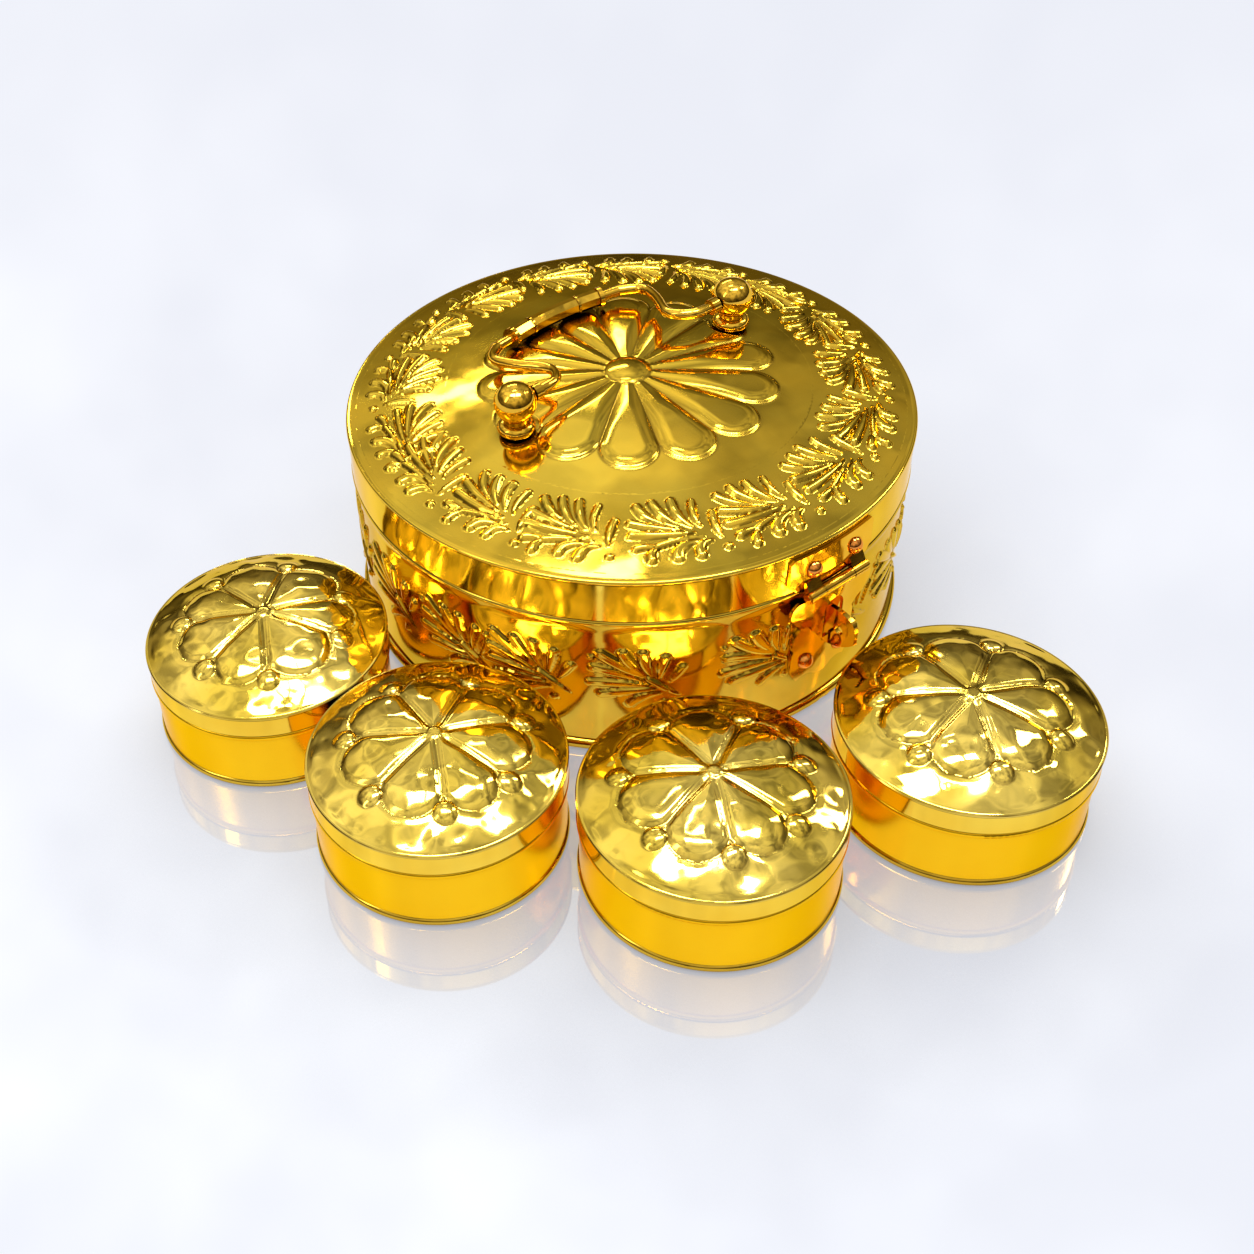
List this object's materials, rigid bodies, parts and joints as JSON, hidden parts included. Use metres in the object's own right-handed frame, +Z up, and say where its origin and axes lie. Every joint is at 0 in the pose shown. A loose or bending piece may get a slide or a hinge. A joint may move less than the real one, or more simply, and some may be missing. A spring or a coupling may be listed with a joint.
{
  "type": "betel box set",
  "caption": "Round brass box with a hinged domed lid, swinging bail handle and hasp, with small round lidded boxes beside it.",
  "frame": {"origin": "centre of the big case's foot ring, on the table", "axes": "+Z up; -Y is the front, with the hasp; +Y is the rear, with the lid hinge; the bail's pivot line runs along X"},
  "size_m": [0.2738, 0.2888, 0.0996],
  "materials": {
    "polished_brass": "polished",
    "satin_brass": "satin",
    "copper": "polished copper"
  },
  "bodies": {
    "case": {"case_foot_ring": "polished_brass", "case_floor": "polished_brass", "case_wall": "polished_brass", "staple_plate": "polished_brass", "staple_fin": "polished_brass", "staple_rivets": "copper", "rear_case_leaf": "polished_brass", "rear_case_rivets": "copper"},
    "lid": {"lid_skirt": "polished_brass", "lid_top": "polished_brass", "post_left": "polished_brass", "post_right": "polished_brass", "post_nuts": "polished_brass", "hasp_plate": "polished_brass", "hasp_rivets": "copper", "hasp_pin": "polished_brass", "rear_lid_leaf": "polished_brass", "rear_lid_rivets": "copper", "rear_pin": "polished_brass"},
    "bail": {"bail": "polished_brass"},
    "hasp": {"hasp_flap": "polished_brass"},
    "cup_a": {"cup_a_foot_ring": "polished_brass", "cup_a_floor": "polished_brass", "cup_a_wall": "satin_brass"},
    "cup_a_lid": {"cup_a_lid_skirt": "polished_brass", "cup_a_lid_top": "polished_brass"},
    "cup_b": {"cup_b_foot_ring": "polished_brass", "cup_b_floor": "polished_brass", "cup_b_wall": "satin_brass"},
    "cup_b_lid": {"cup_b_lid_skirt": "polished_brass", "cup_b_lid_top": "polished_brass"},
    "cup_c": {"cup_c_foot_ring": "polished_brass", "cup_c_floor": "polished_brass", "cup_c_wall": "satin_brass"},
    "cup_c_lid": {"cup_c_lid_skirt": "polished_brass", "cup_c_lid_top": "polished_brass"},
    "cup_d": {"cup_d_foot_ring": "polished_brass", "cup_d_floor": "polished_brass", "cup_d_wall": "satin_brass"},
    "cup_d_lid": {"cup_d_lid_skirt": "polished_brass", "cup_d_lid_top": "polished_brass"}
  },
  "joints": [
    {"name": "lid_hinge", "type": "hinge", "parent": "case", "child": "lid", "pos_m": [0, 0.0986, 0.0572], "axis": [-1, 0, 0], "range_deg": [0, 105]},
    {"name": "bail_hinge", "type": "hinge", "parent": "lid", "child": "bail", "pos_m": [0, 0, 0.09295], "axis": [1, 0, 0], "range_deg": [0, 197]},
    {"name": "hasp_hinge", "type": "hinge", "parent": "lid", "child": "hasp", "pos_m": [0, -0.0984, 0.0555], "axis": [-1, 0, 0], "range_deg": [0, 150]},
    {"name": "cup_a_lift", "type": "slide", "parent": "case", "child": "cup_a", "axis": [0, 0, 1], "range_m": [0, 0.12]},
    {"name": "cup_a_lid_lift", "type": "slide", "parent": "cup_a", "child": "cup_a_lid", "axis": [0, 0, 1], "range_m": [0, 0.07]},
    {"name": "cup_b_lift", "type": "slide", "parent": "case", "child": "cup_b", "axis": [0, 0, 1], "range_m": [0, 0.12]},
    {"name": "cup_b_lid_lift", "type": "slide", "parent": "cup_b", "child": "cup_b_lid", "axis": [0, 0, 1], "range_m": [0, 0.07]},
    {"name": "cup_c_lift", "type": "slide", "parent": "case", "child": "cup_c", "axis": [0, 0, 1], "range_m": [0, 0.12]},
    {"name": "cup_c_lid_lift", "type": "slide", "parent": "cup_c", "child": "cup_c_lid", "axis": [0, 0, 1], "range_m": [0, 0.07]},
    {"name": "cup_d_lift", "type": "slide", "parent": "case", "child": "cup_d", "axis": [0, 0, 1], "range_m": [0, 0.12]},
    {"name": "cup_d_lid_lift", "type": "slide", "parent": "cup_d", "child": "cup_d_lid", "axis": [0, 0, 1], "range_m": [0, 0.07]}
  ]
}
